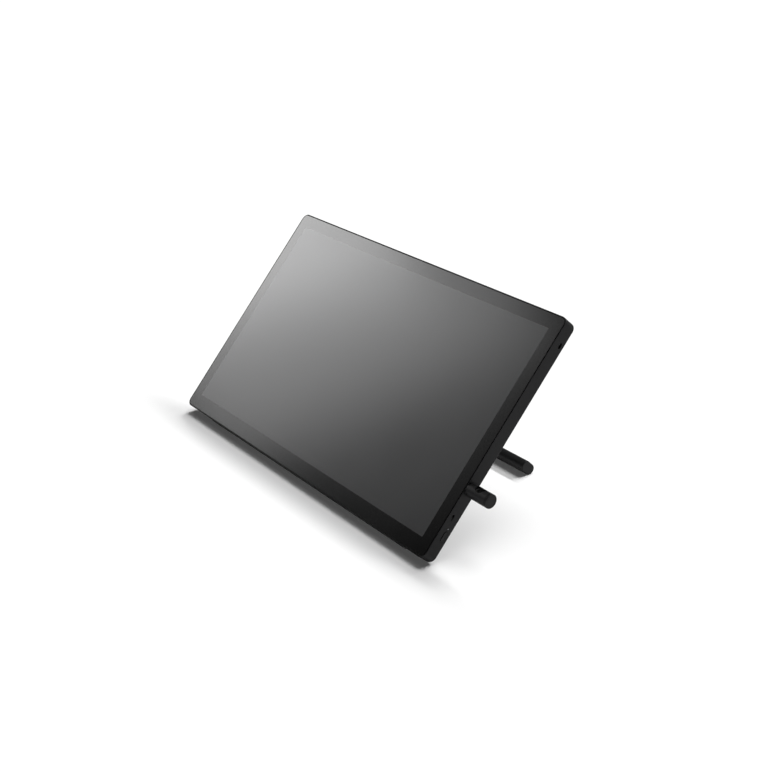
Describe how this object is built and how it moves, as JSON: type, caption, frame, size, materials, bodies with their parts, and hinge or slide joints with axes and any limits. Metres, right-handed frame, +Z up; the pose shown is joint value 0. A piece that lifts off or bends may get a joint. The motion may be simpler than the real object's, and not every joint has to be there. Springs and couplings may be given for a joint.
{
  "type": "pen drawing tablet",
  "caption": "Wide pen display tablet tilted on a folding rear leg with a long foot bar, black bezel, and a round pen holder on its right side.",
  "frame": {"origin": "middle of the flat on the front rubber foot, under the lowest corner of the housing, on the surface it stands on", "axes": "+X to the right of someone facing the screen, +Y to the back, +Z up; the screen faces -Y and up, tilted 49 degrees from the desk"},
  "size_m": [0.5442, 0.2514, 0.244],
  "materials": {
    "cover_glass": "etched, low gloss",
    "black_print": "matt print",
    "clear_film": "clear",
    "cell_glass": "polished",
    "white_film": "matt",
    "clear_acrylic": "polished",
    "board_green": "solder mask",
    "bare_aluminium": "pressed",
    "bare_steel": "plated",
    "housing_black": "fine matt texture",
    "brass": "turned",
    "black_steel": "black oxide",
    "chip_black": "moulded",
    "pad_grey": "soft",
    "ribbon_amber": "film",
    "control_black": "satin",
    "socket_nylon": "plain",
    "holder_black": "fine matt",
    "rubber": "matt",
    "stand_black": "fine powder coat",
    "cap_black": "satin"
  },
  "bodies": {
    "tablet": {"backlight_lamps": "white_film", "backlight_pan": "bare_aluminium", "board_blocks": "housing_black", "board_screws": "bare_steel", "bonding_film": "clear_film", "border_mask": "black_print", "chassis": "bare_aluminium", "control_board": "board_green", "cover_inserts": "brass", "cover_screws": "black_steel", "diffuser_sheets": "white_film", "friction_washers": "bare_steel", "front_foot": "rubber", "front_glass": "cover_glass", "glass_tape": "black_print", "heat_spreader": "bare_aluminium", "hinge_barrel": "stand_black", "hinge_nuts": "black_steel", "hinge_pins": "black_steel", "holder_socket": "socket_nylon", "lamp_strip": "board_green", "lcd_panel": "cell_glass", "leg_bumpers": "rubber", "light_guide": "clear_acrylic", "light_pipe": "clear_acrylic", "lock_plate": "bare_steel", "main_board": "board_green", "panel_ribbon": "ribbon_amber", "plate_inserts": "brass", "plate_screws": "black_steel", "port_shells": "bare_steel", "port_tongues": "chip_black", "power_board": "board_green", "power_coils": "chip_black", "processor_chips": "chip_black", "rear_cover": "housing_black", "reflector_sheet": "white_film", "sensor_board": "board_green", "sensor_ribbon": "ribbon_amber", "shield_can": "bare_steel", "shield_sheet": "bare_steel", "stand_bracket": "stand_black", "switch_body": "chip_black", "tact_switch": "chip_black", "thermal_pads": "pad_grey", "vent_screen": "black_print"},
    "rear_leg": {"arm_left": "stand_black", "arm_right": "stand_black", "foot_bar": "stand_black", "foot_sole": "rubber", "foot_cap_left": "cap_black", "foot_cap_right": "cap_black", "arm_bushes": "socket_nylon", "arm_screws": "black_steel"},
    "pen_holder": {"holder_body": "holder_black", "holder_liner": "rubber", "holder_cap": "holder_black", "holder_clip": "bare_steel"},
    "power_button": {"power_button": "control_black"},
    "touch_switch": {"switch_slider": "control_black"}
  },
  "joints": [
    {"name": "leg_fold", "type": "hinge", "parent": "tablet", "child": "rear_leg", "pos_m": [0, 0.12131, 0.11636], "axis": [1, 0, 0], "range_deg": [-86, 45]},
    {"name": "holder_turn", "type": "hinge", "parent": "tablet", "child": "pen_holder", "pos_m": [0.25575, 0.05223, 0.07637], "axis": [1, 0, 0], "range_deg": [-90, 90]},
    {"name": "power_press", "type": "slide", "parent": "tablet", "child": "power_button", "axis": [-1, 0, 0], "range_m": [0, 0.0008], "stiffness_N_per_m": 2500},
    {"name": "touch_slide", "type": "slide", "parent": "tablet", "child": "touch_switch", "axis": [0, 0.6561, 0.7547], "range_m": [0, 0.003]}
  ]
}
